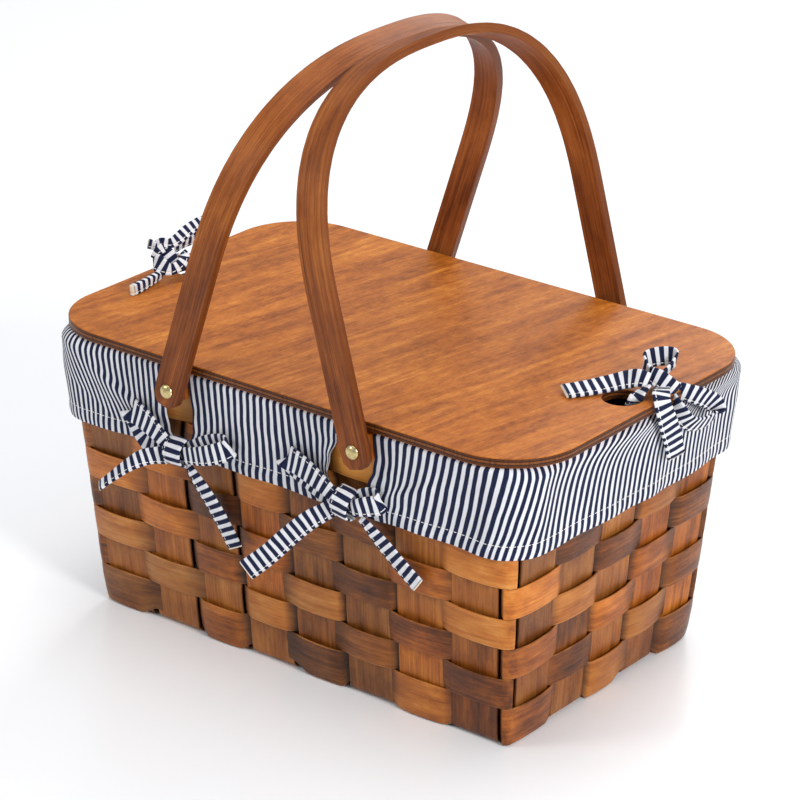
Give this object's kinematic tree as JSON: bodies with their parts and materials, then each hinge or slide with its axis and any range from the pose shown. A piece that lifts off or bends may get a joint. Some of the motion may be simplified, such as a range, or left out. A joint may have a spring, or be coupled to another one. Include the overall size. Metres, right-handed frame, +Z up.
{
  "type": "picnic basket",
  "caption": "Rectangular woven wood splint picnic basket with two swinging bent-strip handles, a plywood lid and a striped cloth liner tied on with bows.",
  "frame": {"origin": "middle of the footprint, on the surface that the woven floor stands on", "axes": "+X along the basket's length toward its right end, +Y toward its back, +Z up"},
  "size_m": [0.4172, 0.2934, 0.4155],
  "materials": {
    "stake splint": "stained thin splint, satin",
    "weaver splint": "stained thin splint, satin",
    "rim wood": "stained strip, satin",
    "handle wood": "stained bent strip, satin varnish",
    "lid plywood": "stained plywood, satin varnish",
    "rivet brass": "polished, lightly worn",
    "ticking cloth": "navy and white woven stripes, matt cotton"
  },
  "bodies": {
    "basket": {"stake_cross_1": "stake splint", "stake_cross_2": "stake splint", "stake_cross_3": "stake splint", "stake_cross_4": "stake splint", "stake_cross_5": "stake splint", "stake_cross_6": "stake splint", "stake_cross_7": "stake splint", "stake_cross_8": "stake splint", "stake_long_1": "stake splint", "stake_long_2": "stake splint", "stake_long_3": "stake splint", "stake_long_4": "stake splint", "stake_long_5": "stake splint", "weaver_row_1": "weaver splint", "weaver_row_2": "weaver splint", "weaver_row_3": "weaver splint", "weaver_row_4": "weaver splint", "weaver_row_5": "weaver splint", "weaver_row_6": "weaver splint", "weaver_row_7": "weaver splint", "weaver_row_8": "weaver splint", "rim_outer_band": "rim wood", "rim_inner_band": "rim wood", "post_front_left": "handle wood", "post_front_right": "handle wood", "post_back_left": "handle wood", "post_back_right": "handle wood", "rivet_front_left": "rivet brass", "rivet_front_right": "rivet brass", "rivet_back_left": "rivet brass", "rivet_back_right": "rivet brass", "rivet_burr_front_left": "rivet brass", "rivet_burr_front_right": "rivet brass", "rivet_burr_back_left": "rivet brass", "rivet_burr_back_right": "rivet brass", "liner_bag": "ticking cloth", "skirt_front": "ticking cloth", "skirt_right": "ticking cloth", "skirt_back": "ticking cloth", "skirt_left": "ticking cloth", "bow_front_left": "ticking cloth", "bow_front_right": "ticking cloth", "bow_back_left": "ticking cloth", "bow_back_right": "ticking cloth"},
    "handle_left": {"handle_left": "handle wood"},
    "handle_right": {"handle_right": "handle wood"},
    "lid": {"lid": "lid plywood", "bow_lid_left": "ticking cloth", "bow_lid_right": "ticking cloth"}
  },
  "joints": [
    {"name": "handle_left_swing", "type": "hinge", "parent": "basket", "child": "handle_left", "pos_m": [-0.07598, 0, 0.1917], "axis": [0, -1, 0], "range_deg": [0, 155]},
    {"name": "handle_right_swing", "type": "hinge", "parent": "basket", "child": "handle_right", "pos_m": [0.07598, 0, 0.1917], "axis": [0, 1, 0], "range_deg": [0, 155]},
    {"name": "lid_tilt", "type": "hinge", "parent": "basket", "child": "lid", "pos_m": [-0.198, 0, 0.2024], "axis": [0, -1, 0], "range_deg": [0, 25]}
  ]
}
